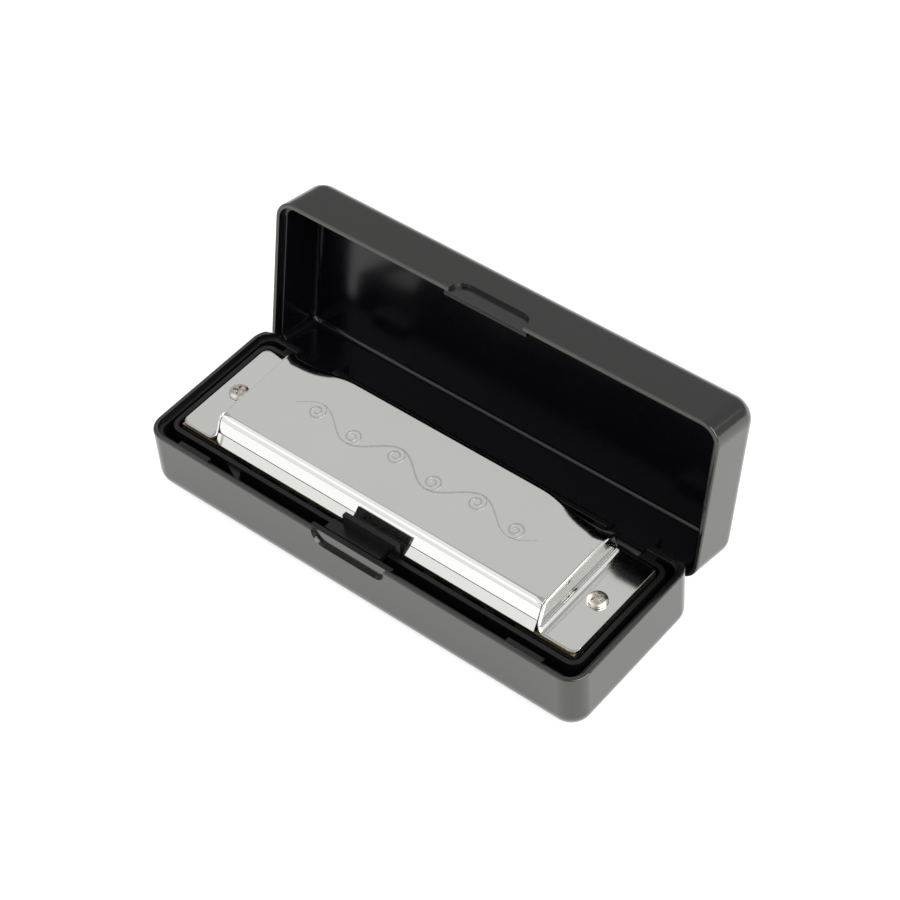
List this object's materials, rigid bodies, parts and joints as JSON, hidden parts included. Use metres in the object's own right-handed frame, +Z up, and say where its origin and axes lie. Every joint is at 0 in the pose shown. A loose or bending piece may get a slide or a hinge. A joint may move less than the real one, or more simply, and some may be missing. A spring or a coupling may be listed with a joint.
{
  "type": "harmonica in hinged case",
  "caption": "Diatonic harmonica with arched chrome cover plates and end screws, lying in an open black plastic case whose hinged lid stands upright.",
  "frame": {"origin": "middle of the case base's flat underside", "axes": "+X along the harmonica's length towards the high notes, +Y from the mouthpiece towards the case's hinge, +Z up"},
  "size_m": [0.1106, 0.0585, 0.0467],
  "materials": {
    "case_plastic": "moulded black plastic, half gloss",
    "comb_plastic": "moulded black plastic, satin",
    "cover_chrome": "polished chrome plate on a stamped sheet",
    "reed_plate_brass": "rolled brass, satin",
    "reed_brass": "rolled and ground brass",
    "fastener_steel": "nickel-plated steel, bright"
  },
  "bodies": {
    "case_base": {"case_base": "case_plastic", "hinge_pin_left": "fastener_steel", "hinge_pin_right": "fastener_steel"},
    "case_lid": {"case_lid": "case_plastic"},
    "harmonica": {"comb": "comb_plastic", "upper_reed_plate": "reed_plate_brass", "lower_reed_plate": "reed_plate_brass", "upper_cover": "cover_chrome", "lower_cover": "cover_chrome", "cover_screw_left": "fastener_steel", "cover_screw_right": "fastener_steel", "cover_nut_left": "fastener_steel", "cover_nut_right": "fastener_steel", "upper_plate_pin_left": "reed_brass", "upper_plate_pin_right": "reed_brass", "lower_plate_pin_left": "reed_brass", "lower_plate_pin_right": "reed_brass", "blow_rivet_01": "reed_brass", "blow_rivet_02": "reed_brass", "blow_rivet_03": "reed_brass", "blow_rivet_04": "reed_brass", "blow_rivet_05": "reed_brass", "blow_rivet_06": "reed_brass", "blow_rivet_07": "reed_brass", "blow_rivet_08": "reed_brass", "blow_rivet_09": "reed_brass", "blow_rivet_10": "reed_brass", "draw_rivet_01": "reed_brass", "draw_rivet_02": "reed_brass", "draw_rivet_03": "reed_brass", "draw_rivet_04": "reed_brass", "draw_rivet_05": "reed_brass", "draw_rivet_06": "reed_brass", "draw_rivet_07": "reed_brass", "draw_rivet_08": "reed_brass", "draw_rivet_09": "reed_brass", "draw_rivet_10": "reed_brass"},
    "blow_reed_01": {"blow_reed_01": "reed_brass"},
    "blow_reed_02": {"blow_reed_02": "reed_brass"},
    "blow_reed_03": {"blow_reed_03": "reed_brass"},
    "blow_reed_04": {"blow_reed_04": "reed_brass"},
    "blow_reed_05": {"blow_reed_05": "reed_brass"},
    "blow_reed_06": {"blow_reed_06": "reed_brass"},
    "blow_reed_07": {"blow_reed_07": "reed_brass"},
    "blow_reed_08": {"blow_reed_08": "reed_brass"},
    "blow_reed_09": {"blow_reed_09": "reed_brass"},
    "blow_reed_10": {"blow_reed_10": "reed_brass"},
    "draw_reed_01": {"draw_reed_01": "reed_brass"},
    "draw_reed_02": {"draw_reed_02": "reed_brass"},
    "draw_reed_03": {"draw_reed_03": "reed_brass"},
    "draw_reed_04": {"draw_reed_04": "reed_brass"},
    "draw_reed_05": {"draw_reed_05": "reed_brass"},
    "draw_reed_06": {"draw_reed_06": "reed_brass"},
    "draw_reed_07": {"draw_reed_07": "reed_brass"},
    "draw_reed_08": {"draw_reed_08": "reed_brass"},
    "draw_reed_09": {"draw_reed_09": "reed_brass"},
    "draw_reed_10": {"draw_reed_10": "reed_brass"}
  },
  "joints": [
    {"name": "case_lid_hinge", "type": "hinge", "parent": "case_base", "child": "case_lid", "pos_m": [0, 0.0161, 0.01325], "axis": [-1, 0, 0], "range_deg": [-101.65, 0]},
    {"name": "harmonica_lift", "type": "slide", "parent": "case_base", "child": "harmonica", "axis": [0, 0, 1], "range_m": [0, 0.06]},
    {"name": "reed_blow_01", "type": "hinge", "parent": "harmonica", "child": "blow_reed_01", "pos_m": [-0.03375, 0.0078, 0.0147], "axis": [1, 0, 0], "range_deg": [-2.5, 2.5], "stiffness_Nm_per_rad": 0.02},
    {"name": "reed_blow_02", "type": "hinge", "parent": "harmonica", "child": "blow_reed_02", "pos_m": [-0.02625, 0.00707, 0.0147], "axis": [1, 0, 0], "range_deg": [-2.5, 2.5], "stiffness_Nm_per_rad": 0.02},
    {"name": "reed_blow_03", "type": "hinge", "parent": "harmonica", "child": "blow_reed_03", "pos_m": [-0.01875, 0.00633, 0.0147], "axis": [1, 0, 0], "range_deg": [-2.5, 2.5], "stiffness_Nm_per_rad": 0.02},
    {"name": "reed_blow_04", "type": "hinge", "parent": "harmonica", "child": "blow_reed_04", "pos_m": [-0.01125, 0.0056, 0.0147], "axis": [1, 0, 0], "range_deg": [-2.5, 2.5], "stiffness_Nm_per_rad": 0.02},
    {"name": "reed_blow_05", "type": "hinge", "parent": "harmonica", "child": "blow_reed_05", "pos_m": [-0.00375, 0.00487, 0.0147], "axis": [1, 0, 0], "range_deg": [-2.5, 2.5], "stiffness_Nm_per_rad": 0.02},
    {"name": "reed_blow_06", "type": "hinge", "parent": "harmonica", "child": "blow_reed_06", "pos_m": [0.00375, 0.00413, 0.0147], "axis": [1, 0, 0], "range_deg": [-2.5, 2.5], "stiffness_Nm_per_rad": 0.02},
    {"name": "reed_blow_07", "type": "hinge", "parent": "harmonica", "child": "blow_reed_07", "pos_m": [0.01125, 0.0034, 0.0147], "axis": [1, 0, 0], "range_deg": [-2.5, 2.5], "stiffness_Nm_per_rad": 0.02},
    {"name": "reed_blow_08", "type": "hinge", "parent": "harmonica", "child": "blow_reed_08", "pos_m": [0.01875, 0.00267, 0.0147], "axis": [1, 0, 0], "range_deg": [-2.5, 2.5], "stiffness_Nm_per_rad": 0.02},
    {"name": "reed_blow_09", "type": "hinge", "parent": "harmonica", "child": "blow_reed_09", "pos_m": [0.02625, 0.00193, 0.0147], "axis": [1, 0, 0], "range_deg": [-2.5, 2.5], "stiffness_Nm_per_rad": 0.02},
    {"name": "reed_blow_10", "type": "hinge", "parent": "harmonica", "child": "blow_reed_10", "pos_m": [0.03375, 0.0012, 0.0147], "axis": [1, 0, 0], "range_deg": [-2.5, 2.5], "stiffness_Nm_per_rad": 0.02},
    {"name": "reed_draw_01", "type": "hinge", "parent": "harmonica", "child": "draw_reed_01", "pos_m": [-0.03375, -0.0088, 0.0076], "axis": [1, 0, 0], "range_deg": [-2.5, 2.5], "stiffness_Nm_per_rad": 0.02},
    {"name": "reed_draw_02", "type": "hinge", "parent": "harmonica", "child": "draw_reed_02", "pos_m": [-0.02625, -0.0088, 0.0076], "axis": [1, 0, 0], "range_deg": [-2.5, 2.5], "stiffness_Nm_per_rad": 0.02},
    {"name": "reed_draw_03", "type": "hinge", "parent": "harmonica", "child": "draw_reed_03", "pos_m": [-0.01875, -0.0088, 0.0076], "axis": [1, 0, 0], "range_deg": [-2.5, 2.5], "stiffness_Nm_per_rad": 0.02},
    {"name": "reed_draw_04", "type": "hinge", "parent": "harmonica", "child": "draw_reed_04", "pos_m": [-0.01125, -0.0088, 0.0076], "axis": [1, 0, 0], "range_deg": [-2.5, 2.5], "stiffness_Nm_per_rad": 0.02},
    {"name": "reed_draw_05", "type": "hinge", "parent": "harmonica", "child": "draw_reed_05", "pos_m": [-0.00375, -0.0088, 0.0076], "axis": [1, 0, 0], "range_deg": [-2.5, 2.5], "stiffness_Nm_per_rad": 0.02},
    {"name": "reed_draw_06", "type": "hinge", "parent": "harmonica", "child": "draw_reed_06", "pos_m": [0.00375, -0.0088, 0.0076], "axis": [1, 0, 0], "range_deg": [-2.5, 2.5], "stiffness_Nm_per_rad": 0.02},
    {"name": "reed_draw_07", "type": "hinge", "parent": "harmonica", "child": "draw_reed_07", "pos_m": [0.01125, -0.0088, 0.0076], "axis": [1, 0, 0], "range_deg": [-2.5, 2.5], "stiffness_Nm_per_rad": 0.02},
    {"name": "reed_draw_08", "type": "hinge", "parent": "harmonica", "child": "draw_reed_08", "pos_m": [0.01875, -0.0088, 0.0076], "axis": [1, 0, 0], "range_deg": [-2.5, 2.5], "stiffness_Nm_per_rad": 0.02},
    {"name": "reed_draw_09", "type": "hinge", "parent": "harmonica", "child": "draw_reed_09", "pos_m": [0.02625, -0.0088, 0.0076], "axis": [1, 0, 0], "range_deg": [-2.5, 2.5], "stiffness_Nm_per_rad": 0.02},
    {"name": "reed_draw_10", "type": "hinge", "parent": "harmonica", "child": "draw_reed_10", "pos_m": [0.03375, -0.0088, 0.0076], "axis": [1, 0, 0], "range_deg": [-2.5, 2.5], "stiffness_Nm_per_rad": 0.02}
  ]
}
